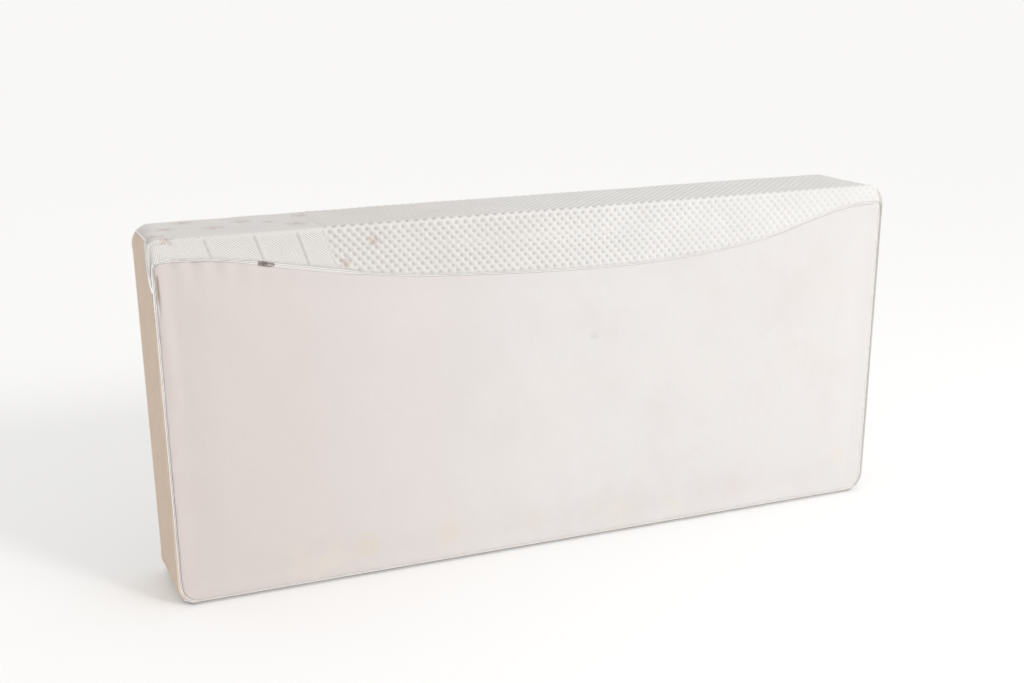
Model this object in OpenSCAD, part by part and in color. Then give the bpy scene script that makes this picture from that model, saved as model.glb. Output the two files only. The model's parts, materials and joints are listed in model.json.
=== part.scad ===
// Foam mattress in a zip-off knitted cover, standing on one long side.
// X runs along the length, Y through the thickness and Z up the width.
// The underside panel faces -Y and the sleeping surface faces +Y.
// The origin is the centre of the long side that the mattress stands on.

/* [Mattress] */
// Length of the mattress
length = 2000; // [1900:10:2200]
// Width of the mattress, which is its height as it stands on its long side
width = 900; // [700:10:1600]
// Thickness from the underside to the sleeping surface
thickness = 250; // [200:5:320]
// Radius of the soft edges all round
edge_r = 10; // [8:1:10]
// Radius of the four corners, seen square to the sleeping surface
corner_r = 60; // [60:1:70]

/* [Cover] */
// Thickness of the cover fabric as a solid
cover_t = 4; // [3:0.5:6]
// Thickness of the wadding quilted under the sleeping surface
wadding_t = 8; // [5:1:20]
// Thickness of the non-woven backing behind the wadding
backing_t = 1; // [0.6:0.2:2]
// Thickness of the stockinette sleeve round the foam
sleeve_t = 1.2; // [0.8:0.2:2]

/* [Foam] */
// Thickness of the memory foam on the sleeping side
comfort_t = 50; // [30:5:80]
// Thickness of the softer foam between memory foam and core
transition_t = 40; // [20:5:60]

/* [Zip seam] */
// Distance of the seam from the ends and from the long side stood on
seam_inset = 17; // [17:1:30]
// Distance of the seam below the upper long side at the two ends
seam_drop = 52; // [45:1:70]
// Extra depth of the seam's dip towards the middle of the length
seam_dip = 106; // [0:2:140]
// Radius of the seam at its corners
seam_r = 43; // [28:1:43]
// Half width of the groove between the two fabric lips
groove_half = 6; // [5.5:0.25:6]
// Width of each zip tape
tape_w = 8.4; // [7:0.2:9]
// Thickness of the zip tapes
tape_t = 0.8; // [0.6:0.1:1]

/* [Zip slider] */
// Distance of the slider's pull from the left end, at rest
slider_from_end = 263; // [240:1:300]
// Length of the slider body
slider_l = 13; // [12:0.5:16]
// Width of the slider body
slider_w = 10.4; // [9.6:0.2:11]
// Length of the pull tab from its pivot to its tip
tab_l = 24; // [18:1:32]
// Width of the pull tab
tab_w = 7; // [6:0.5:8]

/* [Hidden] */
$fn = 64;
big = 4 * length;
gap = 0.2;                             // clearance between nested soft layers
end_x = length / 2;
face_y = thickness / 2;
front = -face_y;                       // plane of the underside face
stretch = length / 2000;               // the seam's knots follow the length
inner_front = front + cover_t;         // back of the cover at the underside

// Layers, as distances in from the outside
quilt_in = cover_t + gap;
sleeve_in = quilt_in + gap;
foam_in = sleeve_in + sleeve_t + gap;
wadding_back = face_y - quilt_in;
wadding_front = wadding_back - wadding_t;
backing_front = wadding_front - backing_t;
sleeve_back = backing_front - gap;
sleeve_front = inner_front + 2.8;      // leaves room behind the zip tapes for the slider
foam_front = sleeve_front + sleeve_t + gap;
foam_back = sleeve_back - sleeve_t - gap;
comfort_front = foam_back - comfort_t;
transition_front = comfort_front - transition_t;

// The seam's upper run: [distance from the left end, share of the dip, slope of that share]
straight_a = 200;                      // the run is straight between these two
straight_b = 480;
share_a = 0.11;
share_b = 0.586;
straight_slope = (share_b - share_a) / (straight_b - straight_a);
dip_knots = [
    [seam_inset + seam_r, 0, 0],
    [110, 0.015, 0.0007],
    [straight_a, share_a, straight_slope],
    [straight_b, share_b, straight_slope],
    [800, 0.885, 0.0005],
    [1180, 1, 0],
    [1600, 0.69, -0.00155],
    [1780, 0.26, -0.0025],
    [2000 - seam_inset - seam_r, 0, 0]
];
knot_steps = 8;                        // points in each curved stretch
arc_steps = 8;                         // points in each rounded corner

function hermite(t, y0, m0, y1, m1) =
    (2 * t * t * t - 3 * t * t + 1) * y0 + (t * t * t - 2 * t * t + t) * m0
    + (3 * t * t - 2 * t * t * t) * y1 + (t * t * t - t * t) * m1;
function hermite_slope(t, y0, m0, y1, m1) =
    (6 * t * t - 6 * t) * y0 + (3 * t * t - 4 * t + 1) * m0
    + (6 * t - 6 * t * t) * y1 + (3 * t * t - 2 * t) * m1;
// Height of the seam's upper run and its slope, from a share of the dip
function run_z(share) = width - seam_drop - seam_dip * share;
function knot_x(x) = x * stretch - end_x;
// One point of the upper run: [x, z, outward normal x, outward normal z]
function run_point(a, b, t) =
    let (
        span = b[0] - a[0],
        share = hermite(t, a[1], a[2] * span, b[1], b[2] * span),
        rise = -seam_dip * hermite_slope(t, a[1], a[2] * span, b[1], b[2] * span),
        run = span * stretch,
        size = sqrt(rise * rise + run * run)
    ) [knot_x(a[0] + t * span), run_z(share), -rise / size, run / size];
function steps_between(k) = k == 2 ? 1 : knot_steps;
upper_run = [for (k = [0 : len(dip_knots) - 2]) for (i = [0 : steps_between(k) - 1])
    run_point(dip_knots[k], dip_knots[k + 1], i / steps_between(k))];
function corner(cx, cz, from) = [for (i = [0 : arc_steps])
    let (a = from - 90 * i / arc_steps)
    [cx + seam_r * cos(a), cz + seam_r * sin(a), cos(a), sin(a)]];
seam_x = end_x - seam_inset;
seam_top = width - seam_drop;
seam_loop = concat(
    upper_run,
    corner(seam_x - seam_r, seam_top - seam_r, 90),
    corner(seam_x - seam_r, seam_inset + seam_r, 0),
    corner(-seam_x + seam_r, seam_inset + seam_r, -90),
    [for (p = corner(-seam_x + seam_r, seam_top - seam_r, 180)) if (p[2] < -0.001) p]
);

// Slider: its place on the straight run
slope_angle = atan(straight_slope * seam_dip / stretch);
slider_x = slider_from_end - end_x;
slider_share = share_a + (slider_from_end / stretch - straight_a) * straight_slope;
slider_z = run_z(slider_share);

// Depths of the zip's layers along Y
tape_y = inner_front + gap;            // outer face of the tapes
coil_t = 2;
coil_y = tape_y - coil_t;              // outer face of the coils
coil_half_gap = 0.5;                   // between the seam line and each coil half
coil_w = 2.7;
plate_t = 1;
run_gap = 0.4;                         // running clearance of the slider
outer_plate_y = coil_y - run_gap - plate_t;
inner_plate_y = tape_y + tape_t + run_gap;
flange_t = 1.5;
post_w = 0.6;
bail_w = 2;
bail_bar = 1.2;
bail_half = 4;                         // half length of the bail's arch
pin_d = 1.2;
pin_y = outer_plate_y - run_gap - pin_d / 2;
bail_y = pin_y - pin_d / 2 - run_gap - bail_bar;
window_l = 5;
window_w = 3.2;
stop_h = 3;
stop_front = 10.5;                     // far end of the top stops from the pull's pivot
stop_l = 2.5;
split_at = 11;                         // where the two ends of the zip meet
split_w = 0.5;

// ---- helpers ----

// Rectangle with round corners, centred
module rounded_rect(w, h, r) {
    square([w - 2 * r, h], center = true);
    square([w, h - 2 * r], center = true);
    for (sx = [-1, 1], sy = [-1, 1])
        translate([sx * (w / 2 - r), sy * (h / 2 - r)]) circle(r);
}

// The mattress's outer shape, taken in by a distance on every side
module block(inset) {
    l = length - 2 * inset;
    t = thickness - 2 * inset;
    w = width - 2 * inset;
    translate([0, 0, width / 2]) intersection() {
        rotate([90, 0, 0]) linear_extrude(t, center = true) rounded_rect(l, w, corner_r - inset);
        rotate([90, 0, 90]) linear_extrude(l, center = true) rounded_rect(t, w, edge_r - inset);
        linear_extrude(w, center = true) rounded_rect(l, t, edge_r - inset);
    }
}

// Everything between two depths
module between(y0, y1)
    translate([-big / 2, y0, -big / 2]) cube([big, y1 - y0, big]);

// A flat shape drawn in X and Z, standing between two depths
module standing(y0, y1)
    translate([0, y1, 0]) rotate([90, 0, 0]) linear_extrude(y1 - y0) children();

// Area inside the seam, moved outwards by a distance
module inside_seam(out)
    polygon([for (p = seam_loop) [p[0] + out * p[2], p[1] + out * p[3]]]);

// Ring along the seam between two distances from it
module seam_ring(a, b) difference() {
    inside_seam(b);
    inside_seam(a);
}

// The cover's shell on the four sides, open inside the groove at the underside
module border_shell() intersection() {
    difference() {
        block(0);
        block(cover_t);
        standing(front - 1, front + cover_t + edge_r / 2) inside_seam(groove_half);
    }
    between(front - 1, face_y - edge_r);
}

// The four mitred sides of the border, drawn in X and Z; side is -1 for left, 1 for right
module end_region(side) {
    past = 10;
    polygon([
        [side * (end_x + past), -past],
        [side * (end_x - width / 2), width / 2],
        [side * (end_x + past), width + past]
    ]);
}
module long_region(z_outer) {
    polygon([
        [-end_x - abs(z_outer - width / 2) + width / 2, z_outer],
        [-end_x + width / 2, width / 2],
        [end_x - width / 2, width / 2],
        [end_x + abs(z_outer - width / 2) - width / 2, z_outer]
    ]);
}
module border_part() intersection() {
    border_shell();
    standing(front - 1, face_y) children();
}

// A piece of the zip, drawn on the straight run with the pull's pivot at X = 0
module on_run() translate([slider_x, 0, slider_z]) rotate([0, slope_angle, 0]) children();

// The cut where the zip's two ends meet
module zip_split() on_run()
    translate([-split_at - split_w / 2, front, -tape_w - 2])
        cube([split_w, cover_t + tape_t + 1, 2 * tape_w + 4]);

// A tape or coil half that follows the seam, between two distances from it
module zip_strip(a, b, y0, y1) difference() {
    standing(y0, y1) seam_ring(a, b);
    zip_split();
}

// A foam layer between two depths
module foam(y0, y1) intersection() {
    block(foam_in);
    between(y0, y1);
}

// Outline of the slider's plates, tapered at the nose
module plate_outline() {
    l = slider_l / 2;
    w = slider_w / 2;
    nose = 0.7 * w;
    polygon([[-l, -nose], [-l + 3, -w], [l - 3, -w], [l, -w + 1], [l, w - 1], [l - 3, w], [-l + 3, w], [-l, nose]]);
}

// ---- cover ----

module underside_panel() color("#ece8e4") standing(front, inner_front) inside_seam(-groove_half);

module border_upper() color("#e6e3de") border_part() long_region(width + 10);

module border_lower() color("#e2dfda") border_part() long_region(-10);

module end_panel_left() color("#b6a599") border_part() end_region(-1);

module end_panel_right() color("#dedad5") border_part() end_region(1);

module sleeping_panel() color("#eceae6") intersection() {
    difference() {
        block(0);
        block(cover_t);
    }
    between(face_y - edge_r, face_y + 1);
}

module quilt_wadding() color("#f6f5f2") intersection() {
    block(quilt_in);
    between(wadding_front, face_y);
}

module quilt_backing() color("#dcdad4") intersection() {
    block(quilt_in);
    between(backing_front, wadding_front);
}

// ---- zip ----

module zip_tape_cover() color("#e4e0da") zip_strip(coil_half_gap, tape_w, tape_y, tape_y + tape_t);

module zip_tape_underside() color("#e4e0da") zip_strip(-tape_w, -coil_half_gap, tape_y, tape_y + tape_t);

module zip_coil_cover() color("#d8d3cc")
    zip_strip(coil_half_gap, coil_half_gap + coil_w, coil_y, tape_y);

module zip_coil_underside() color("#d8d3cc")
    zip_strip(-coil_half_gap - coil_w, -coil_half_gap, coil_y, tape_y);

// Two top stops, one on each coil half, and the box that holds the other end together
module zip_end_stops() color("#8c7f78") on_run() {
    coil_edge = coil_half_gap + coil_w;
    leg = 1.2;
    for (side = [0, 1]) mirror([0, 0, side]) {
        translate([-stop_front, tape_y - stop_h, coil_half_gap + 0.1])
            cube([stop_l, stop_h - coil_t, coil_w + leg - 0.1]);
        translate([-stop_front, tape_y - stop_h, coil_edge]) cube([stop_l, stop_h, leg]);
    }
    box_x = -split_at - split_w - stop_l;
    translate([box_x, tape_y - stop_h, -coil_edge - leg])
        cube([stop_l, stop_h - coil_t, 2 * (coil_edge + leg)]);
    for (z = [-coil_edge - leg, coil_edge]) translate([box_x, tape_y - stop_h, z]) cube([stop_l, stop_h, leg]);
}

// Two plates joined by a thin post between the coils, side flanges and the bail for the pull
module zip_slider() color("#8a7c75") on_run() {
    standing(outer_plate_y, outer_plate_y + plate_t) plate_outline();
    standing(inner_plate_y, inner_plate_y + plate_t) plate_outline();
    translate([-slider_l / 2 + 1, outer_plate_y, -post_w / 2])
        cube([4, inner_plate_y + plate_t - outer_plate_y, post_w]);
    flange_y = outer_plate_y + plate_t / 2;
    for (z = [-slider_w / 2, slider_w / 2 - flange_t])
        translate([-slider_l / 2 + 3, flange_y, z])
            cube([slider_l - 6, tape_y - run_gap - flange_y, flange_t]);
    translate([-bail_half, bail_y, -bail_w / 2]) cube([2 * bail_half, bail_bar, bail_w]);
    for (x = [-bail_half, bail_half - bail_bar])
        translate([x, bail_y, -bail_w / 2]) cube([bail_bar, outer_plate_y + plate_t / 2 - bail_y, bail_w]);
}

// Flat tab with a window round the bail and a cross pin that turns under the bail
module zip_pull_tab() color("#94867e") on_run() translate([0, pin_y, 0]) {
    cylinder(h = tab_w, d = pin_d, center = true);
    standing(-pin_d / 2, pin_d / 2) difference() {
        union() {
            translate([0, -tab_w / 2]) square([tab_l - tab_w / 2, tab_w]);
            translate([tab_l - tab_w / 2, 0]) circle(tab_w / 2);
        }
        translate([-1, -window_w / 2]) square([window_l + 1 + pin_d / 2, window_w]);
    }
}

// ---- inside ----

module inner_sleeve() color("#f2f1ee") difference() {
    intersection() {
        block(sleeve_in);
        between(sleeve_front, sleeve_back);
    }
    intersection() {
        block(sleeve_in + sleeve_t);
        between(sleeve_front + sleeve_t, sleeve_back - sleeve_t);
    }
}

module comfort_foam() color("#f3e9c6") foam(comfort_front, foam_back);

module transition_foam() color("#d9e4ea") foam(transition_front, comfort_front);

module support_core() color("#f4f2ea") foam(foam_front, transition_front);

underside_panel();
border_upper();
border_lower();
end_panel_left();
end_panel_right();
sleeping_panel();
quilt_wadding();
quilt_backing();
zip_tape_cover();
zip_tape_underside();
zip_coil_cover();
zip_coil_underside();
zip_end_stops();
zip_slider();
zip_pull_tab();
inner_sleeve();
comfort_foam();
transition_foam();
support_core();
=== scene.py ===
"""Foam mattress in a zip-off knitted cover, standing on one long side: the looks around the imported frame.

Everything is in metres in the part's own frame: X along the length, -Y the underside panel, Z up the width.
A border surface has two coordinates: s runs round the outer perimeter, 0 at the middle of the upper long side
and positive to the right; c runs across the border, 0 where the front edge's rounding starts.
"""

import json
import math

import bmesh
import bpy
import numpy as np
from mathutils import Matrix, Vector, kdtree


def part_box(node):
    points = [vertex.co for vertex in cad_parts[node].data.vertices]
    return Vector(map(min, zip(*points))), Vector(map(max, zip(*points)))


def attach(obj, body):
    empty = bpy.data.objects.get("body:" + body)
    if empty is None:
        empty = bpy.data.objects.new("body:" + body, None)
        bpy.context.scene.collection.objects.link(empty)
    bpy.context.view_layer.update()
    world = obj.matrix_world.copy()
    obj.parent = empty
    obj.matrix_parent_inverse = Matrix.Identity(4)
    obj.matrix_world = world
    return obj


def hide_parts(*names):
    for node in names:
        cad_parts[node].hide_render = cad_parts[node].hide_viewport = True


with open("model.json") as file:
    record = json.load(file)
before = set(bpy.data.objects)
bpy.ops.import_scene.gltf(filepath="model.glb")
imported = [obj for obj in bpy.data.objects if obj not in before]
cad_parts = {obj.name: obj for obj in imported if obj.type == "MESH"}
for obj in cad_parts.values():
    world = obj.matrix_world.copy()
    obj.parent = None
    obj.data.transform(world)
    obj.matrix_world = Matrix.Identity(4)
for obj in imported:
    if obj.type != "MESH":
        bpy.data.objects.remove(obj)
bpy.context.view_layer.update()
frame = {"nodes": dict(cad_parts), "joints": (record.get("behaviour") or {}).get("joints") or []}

# ---- sizes, from the frame ----

tray_lo, tray_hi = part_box("sleeping_panel")
under_lo, under_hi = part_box("underside_panel")
END = tray_hi[0]
FACE = tray_hi[1]
TOP = tray_hi[2]
EDGE_R = tray_hi[1] - tray_lo[1]
CORNER_R = 0.062                      # the roundest corner; corner_shift sharpens the others
PANEL_T = under_hi[1] - under_lo[1]
ARC = EDGE_R * math.pi / 2            # length of a rounded edge across
SIDE = 2 * (FACE - EDGE_R)            # flat width of a border side
BACK_SEAM = ARC + SIDE                # c where the border meets the sleeping panel

SEAM_INSET = 0.0085                   # the seam lies along the fold at the ends and the base
SEAM_DROP = 0.052
SEAM_DIP = 0.106
SEAM_R = CORNER_R - SEAM_INSET
FOLD_TOP = 0.011                      # radius of the front fold along the upper long side
FOLD_SIDE = 0.0045                    # radius of the front fold at the ends and the base
SLOPE_SHARE = (0.586 - 0.11) / 280
CORNER_MM = round(1000 * CORNER_R)
LENGTH_MM = round(2000 * END)
# distance from the left end in mm, share of the dip, slope of that share
DIP_KNOTS = [
    (CORNER_MM, 0, 0), (110, 0.015, 0.0007), (200, 0.11, SLOPE_SHARE), (480, 0.586, SLOPE_SHARE),
    (800, 0.885, 0.0005), (1180, 1, 0), (1600, 0.69, -0.00155), (1780, 0.26, -0.0025),
    (LENGTH_MM - CORNER_MM, 0, 0),
]

pivot = Vector(next(j for j in frame["joints"] if j["name"] == "pull_tab_hinge")["pos_m"])


# ---- the seam and the perimeter ----

def hermite_run(steps=24):
    """The seam's upper run as arrays x, z, normal x, normal z."""
    rows = []
    for (x0, y0, m0), (x1, y1, m1) in zip(DIP_KNOTS, DIP_KNOTS[1:]):
        span = x1 - x0
        for t in np.arange(steps) / steps:
            share = ((2 * t**3 - 3 * t**2 + 1) * y0 + (t**3 - 2 * t**2 + t) * m0 * span
                     + (3 * t**2 - 2 * t**3) * y1 + (t**3 - t**2) * m1 * span)
            slope = ((6 * t**2 - 6 * t) * y0 / span + (3 * t**2 - 4 * t + 1) * m0
                     + (6 * t - 6 * t**2) * y1 / span + (3 * t**2 - 2 * t) * m1)
            rise = -SEAM_DIP * slope * 1000
            size = math.hypot(rise, 1)
            rows.append((-END + (x0 + t * span) / 1000, TOP - SEAM_DROP - SEAM_DIP * share,
                         -rise / size, 1 / size))
    rows.append((END - CORNER_R, TOP - SEAM_DROP, 0, 1))
    return np.array(rows).T


RUN_X, RUN_Z, RUN_NX, RUN_NZ = hermite_run()
SEAM_END = END - SEAM_INSET           # x of the seam's two upright runs
SEAM_TOP = TOP - SEAM_DROP
FLAT_X = END - CORNER_R               # half length of the perimeter's straight top
FLAT_Z = TOP - 2 * CORNER_R
QUARTER = CORNER_R * math.pi / 2
S_CORNER = FLAT_X + QUARTER / 2       # s at the middle of an upper corner
S_HALF = 2 * FLAT_X + 2 * QUARTER + FLAT_Z


SEAM_SHARP = 0.017                     # radius of the seam's two upper corners


def reach_of(ca, sa, radius, sharp):
    """How far a ray at (ca, sa) from an arc's centre runs when the arc's radius is made sharper."""
    a = radius - sharp
    along = a * (ca + sa)
    on_arc = along + np.sqrt(np.maximum(along**2 - 2 * a**2 + sharp**2, 0))
    return np.where(radius * sa <= a * ca, radius / np.maximum(ca, 1e-6),
                    np.where(radius * ca <= a * sa, radius / np.maximum(sa, 1e-6), on_arc))


def perimeter(s):
    """Points, outward normals and matching seam points and normals, in X and Z, for an array of s."""
    s = np.asarray(s, float)
    side = np.where(s < 0, -1.0, 1.0)
    a = np.abs(s)
    upper = a <= FLAT_X
    arc1 = (a > FLAT_X) & (a <= FLAT_X + QUARTER)
    upright = (a > FLAT_X + QUARTER) & (a <= FLAT_X + QUARTER + FLAT_Z)
    arc2 = (a > FLAT_X + QUARTER + FLAT_Z) & (a <= S_HALF - FLAT_X)
    lower = a > S_HALF - FLAT_X
    x, z, nx, nz = (np.zeros_like(a) for _ in range(4))
    qx, qz, mx, mz = (np.zeros_like(a) for _ in range(4))
    seam_flat = SEAM_END - SEAM_R
    # upper run
    x[upper], z[upper], nx[upper], nz[upper] = a[upper], TOP, 0, 1
    run_x = side * a * seam_flat / FLAT_X
    qx[upper] = (a * seam_flat / FLAT_X)[upper]
    qz[upper] = np.interp(run_x, RUN_X, RUN_Z)[upper]
    mx[upper] = (side * np.interp(run_x, RUN_X, RUN_NX))[upper]
    mz[upper] = np.interp(run_x, RUN_X, RUN_NZ)[upper]
    # upper corner
    for mask, start, turn, cz, sz in (
        (arc1, FLAT_X, math.pi / 2, TOP - CORNER_R, SEAM_TOP - SEAM_R),
        (arc2, FLAT_X + QUARTER + FLAT_Z, 0.0, CORNER_R, SEAM_INSET + SEAM_R),
    ):
        ang = turn - (a[mask] - start) / CORNER_R
        nx[mask], nz[mask] = np.cos(ang), np.sin(ang)
        x[mask] = FLAT_X + CORNER_R * np.cos(ang)
        z[mask] = cz + CORNER_R * np.sin(ang)
        if sz > TOP / 2:
            far = reach_of(np.cos(ang), np.abs(np.sin(ang)), SEAM_R, SEAM_SHARP)
            qx[mask], qz[mask] = seam_flat + far * np.cos(ang), sz + far * np.sin(ang)
            bx = np.maximum(far * np.cos(ang) - SEAM_R + SEAM_SHARP, 0)
            bz = np.maximum(far * np.sin(ang) - SEAM_R + SEAM_SHARP, 0)
            mx[mask], mz[mask] = bx / np.hypot(bx, bz), bz / np.hypot(bx, bz)
        else:
            mx[mask], mz[mask] = np.cos(ang), np.sin(ang)
            qx[mask] = seam_flat + SEAM_R * np.cos(ang)
            qz[mask] = sz + SEAM_R * np.sin(ang)
    down = a[upright] - FLAT_X - QUARTER
    x[upright], z[upright], nx[upright], nz[upright] = END, TOP - CORNER_R - down, 1, 0
    seam_tall = SEAM_TOP - SEAM_INSET - 2 * SEAM_R
    qx[upright], qz[upright] = SEAM_END, SEAM_TOP - SEAM_R - down * seam_tall / FLAT_Z
    mx[upright], mz[upright] = 1, 0
    left = S_HALF - a[lower]
    x[lower], z[lower], nx[lower], nz[lower] = left, 0, 0, -1
    qx[lower], qz[lower], mx[lower], mz[lower] = left * seam_flat / FLAT_X, SEAM_INSET, 0, -1
    return (np.stack([x * side, z], -1), np.stack([nx * side, nz], -1),
            np.stack([qx * side, qz], -1), np.stack([mx * side, mz], -1))


def fold_radius(s):
    """Radius of the front fold at each s."""
    a = np.abs(np.asarray(s, float))
    t = np.clip((a - FLAT_X + 0.02) / (QUARTER + 0.02), 0, 1)
    return FOLD_TOP + (FOLD_SIDE - FOLD_TOP) * t * t * (3 - 2 * t)


def corner_shift(p):
    """Movement that turns the four corners' radius into one that depends on the corner and the depth."""
    dx = np.maximum(np.abs(p[:, 0]) - (END - CORNER_R), 0)
    dz = np.maximum(np.abs(p[:, 2] - TOP / 2) - (TOP / 2 - CORNER_R), 0)
    reach = np.hypot(dx, dz) + 1e-9
    t = np.clip((p[:, 1] + 0.10) / 0.20, 0, 1)
    t = t * t * (3 - 2 * t)
    left, upper = p[:, 0] < 0, p[:, 2] > TOP / 2
    front = np.where(left & upper, 0.020, np.where(upper, 0.056, 0.054))
    back = np.where(left & upper, 0.048, 0.061)
    far = reach_of(dx / reach, dz / reach, CORNER_R, front * (1 - t) + back * t)
    grow = np.where((dx > 0) & (dz > 0), far / CORNER_R - 1, 0)
    return np.stack([np.sign(p[:, 0]) * dx * grow, np.zeros(len(p)),
                     np.sign(p[:, 2] - TOP / 2) * dz * grow], -1)


def seam_line(step):
    """Evenly spaced seam points, outward normals and distances, starting at the middle of the top."""
    s = np.linspace(0, 2 * S_HALF, 6000, endpoint=False)
    _, _, q, m = perimeter(np.where(s > S_HALF, s - 2 * S_HALF, s))
    closed = np.vstack([q, q[:1]])
    dist = np.concatenate([[0], np.cumsum(np.linalg.norm(np.diff(closed, axis=0), axis=1))])
    count = int(round(dist[-1] / step))
    at = np.arange(count) * dist[-1] / count
    wrap = np.vstack([m, m[:1]])
    pts = np.stack([np.interp(at, dist, closed[:, k]) for k in (0, 1)], -1)
    nrm = np.stack([np.interp(at, dist, wrap[:, k]) for k in (0, 1)], -1)
    nrm /= np.linalg.norm(nrm, axis=1, keepdims=True)
    return pts, nrm, at


# ---- the soft form: a cloth simulation of the closed cover, used to move every cover piece ----

FORM_VOXEL = 0.016
FORM_CAP = 0.0065                     # furthest that the cover may swell
FORM_GIVE = 0.0020                    # furthest that it may sink
FORM_PIN = 0.035                      # distance from the zip seam that is held


def rounded_box(name):
    bm = bmesh.new()
    bmesh.ops.create_cube(bm, size=1)
    size = Vector((2 * END, 2 * FACE, TOP))
    for v in bm.verts:
        v.co = Vector((v.co.x * size.x, v.co.y * size.y, (v.co.z + 0.5) * size.z))
    bmesh.ops.bevel(bm, geom=bm.edges[:], offset=EDGE_R, segments=4, profile=0.5, affect="EDGES")
    mesh = bpy.data.meshes.new(name)
    bm.to_mesh(mesh)
    bm.free()
    ob = bpy.data.objects.new(name, mesh)
    bpy.context.scene.collection.objects.link(ob)
    return ob


def swelling():
    ob = rounded_box("form_scratch")
    bpy.context.view_layer.objects.active = ob
    ob.select_set(True)
    remesh = ob.modifiers.new("remesh", "REMESH")
    remesh.mode = "VOXEL"
    remesh.voxel_size = FORM_VOXEL
    bpy.ops.object.modifier_apply(modifier="remesh")
    rest = np.empty(len(ob.data.vertices) * 3)
    ob.data.vertices.foreach_get("co", rest)
    rest = rest.reshape(-1, 3)
    seam, _, _ = seam_line(0.01)
    tree = kdtree.KDTree(len(seam))
    for i, (x, z) in enumerate(seam):
        tree.insert((x, -FACE, z), i)
    tree.balance()
    held = ob.vertex_groups.new(name="held")
    for i, p in enumerate(rest):
        near = tree.find(p)[2]
        if near < FORM_PIN or p[2] < 0.02:
            held.add([i], 1.0, "REPLACE")
    cloth = ob.modifiers.new("cloth", "CLOTH")
    cloth.settings.quality = 5
    cloth.settings.mass = 0.25
    cloth.settings.tension_stiffness = 12
    cloth.settings.compression_stiffness = 12
    cloth.settings.shear_stiffness = 4
    cloth.settings.bending_stiffness = 0.6
    cloth.settings.use_pressure = True
    cloth.settings.uniform_pressure_force = 4
    cloth.settings.effector_weights.gravity = 0
    cloth.settings.vertex_group_mass = "held"
    cloth.collision_settings.use_collision = False
    scene = bpy.context.scene
    for f in range(1, 21):
        scene.frame_set(f)
    dg = bpy.context.evaluated_depsgraph_get()
    moved_mesh = ob.evaluated_get(dg).to_mesh()
    moved = np.empty(len(rest) * 3)
    moved_mesh.vertices.foreach_get("co", moved)
    move = moved.reshape(-1, 3) - rest
    size = np.linalg.norm(move, axis=1, keepdims=True) + 1e-9
    move *= FORM_CAP * np.tanh(size / FORM_CAP) / size
    scene.frame_set(1)
    bpy.data.objects.remove(ob, do_unlink=True)
    tree = kdtree.KDTree(len(rest))
    for i, p in enumerate(rest):
        tree.insert(p, i)
    tree.balance()
    return tree, move


form = swelling()
seam_pts, seam_nrm, seam_at = seam_line(0.004)


def seam_distance(p):
    """Distance in X and Z from each point to the zip seam."""
    out = np.full(len(p), 1.0)
    flat = p[:, [0, 2]]
    for k in range(0, len(p), 4000):
        d = np.linalg.norm(flat[k:k + 4000, None] - seam_pts[None, ::2], axis=2)
        out[k:k + 4000] = d.min(axis=1)
    return out


def ripple(p, scale, seed):
    """Smooth waves of about one unit, from a few seeded plane waves with a wavelength near scale."""
    r = np.random.default_rng(seed)
    out = np.zeros(len(p))
    for _ in range(7):
        k = r.normal(size=3)
        k *= 2 * math.pi / (scale * r.uniform(0.7, 1.6) * np.linalg.norm(k))
        out += np.sin(p @ k + r.uniform(0, 2 * math.pi))
    return out / 3.7


def outward_normal(p):
    """Direction out of the ideal rounded body at points on or near its surface."""
    from_mid = p - np.array([0, 0, TOP / 2])
    size = np.abs(from_mid)
    dx, dz = np.maximum(size[:, 0] - (END - CORNER_R), 0), np.maximum(size[:, 2] - (TOP / 2 - CORNER_R), 0)
    corner = (dx > 0) & (dz > 0)
    to_x, to_z = END - size[:, 0], TOP / 2 - size[:, 2]
    reach = np.hypot(dx, dz) + 1e-9
    ex = np.where(corner, dx / reach, to_x <= to_z)
    ez = np.where(corner, dz / reach, to_x > to_z)
    deep = np.where(corner, CORNER_R - reach, np.minimum(to_x, to_z))
    rim = np.clip(EDGE_R - deep, 1e-6, EDGE_R)
    face = np.clip(EDGE_R - (FACE - size[:, 1]), 0, EDGE_R)
    out = np.stack([ex * rim, face, ez * rim], -1) * np.where(from_mid < 0, -1.0, 1.0)
    return out / np.linalg.norm(out, axis=1, keepdims=True)


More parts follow.
